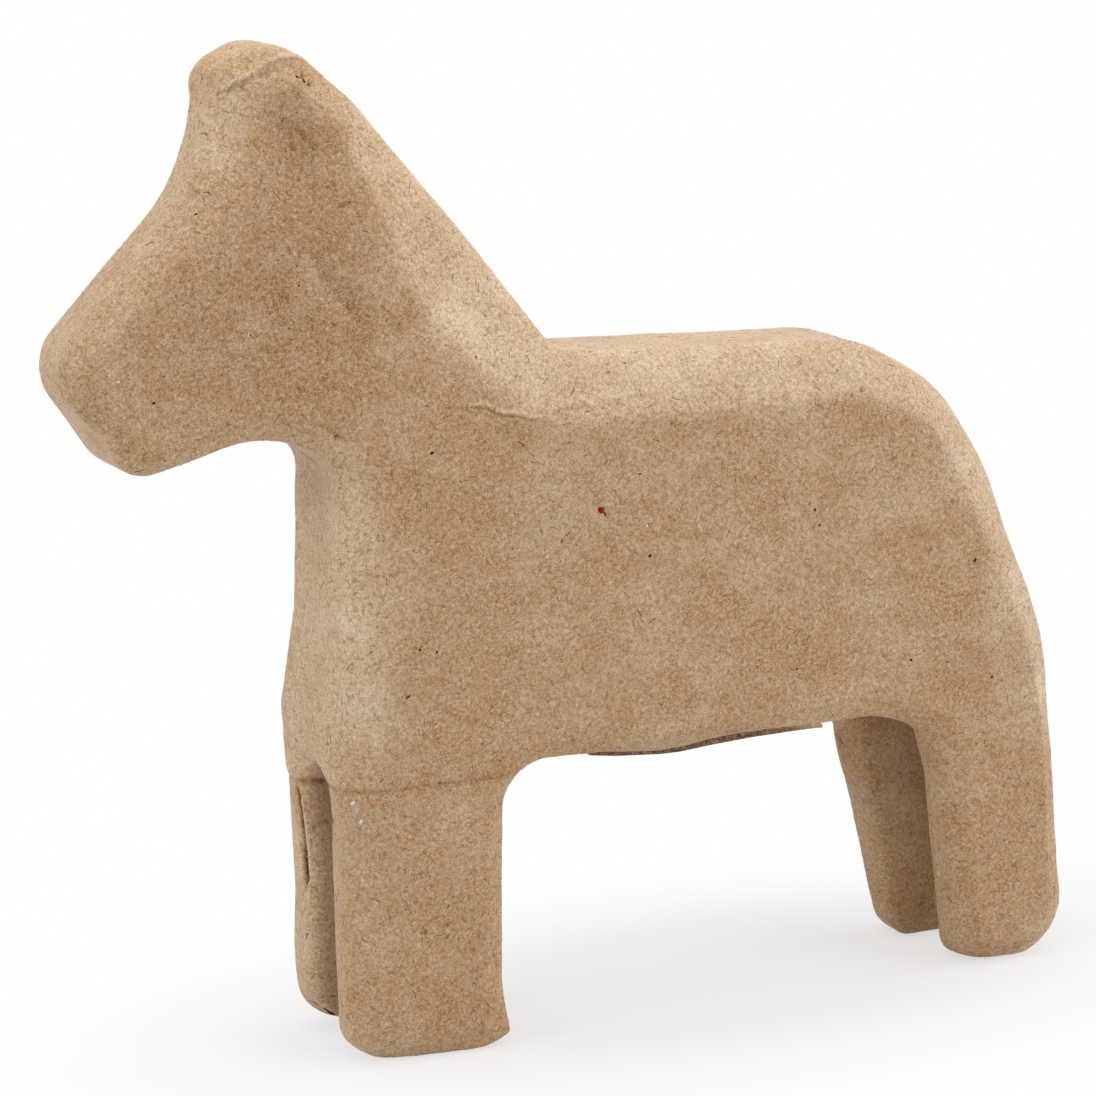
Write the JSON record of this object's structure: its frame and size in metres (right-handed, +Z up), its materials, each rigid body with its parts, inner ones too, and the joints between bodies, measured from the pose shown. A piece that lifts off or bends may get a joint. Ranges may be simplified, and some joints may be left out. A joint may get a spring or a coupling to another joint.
{
  "type": "papier-mache horse figurine",
  "caption": "Free-standing hollow horse figurine of brown papier-mache, with flat sides, rounded edges and straight legs, undecorated.",
  "frame": {"origin": "middle of the bounding box at ground level, under the feet", "axes": "+Z up, the horse faces -X, its left side is towards -Y"},
  "size_m": [0.1428, 0.0236, 0.1324],
  "materials": {
    "brown_paper": "matte kraft paper with visible fibres",
    "grey_board": "matte pressed grey board"
  },
  "bodies": {
    "root": {"side_paper_left": "brown_paper", "side_paper_right": "brown_paper", "face_paper": "brown_paper", "crown_paper": "brown_paper", "chest_paper": "brown_paper", "belly_paper": "brown_paper", "back_paper": "brown_paper", "leg_wrap_front_left": "brown_paper", "leg_wrap_front_right": "brown_paper", "leg_wrap_hind_left": "brown_paper", "leg_wrap_hind_right": "brown_paper", "sole_front_left": "brown_paper", "sole_front_right": "brown_paper", "sole_hind_left": "brown_paper", "sole_hind_right": "brown_paper", "shell_left": "grey_board", "shell_right": "grey_board", "leg_tube_front_left": "grey_board", "leg_tube_front_right": "grey_board", "leg_tube_hind_left": "grey_board", "leg_tube_hind_right": "grey_board"}
  },
  "joints": []
}
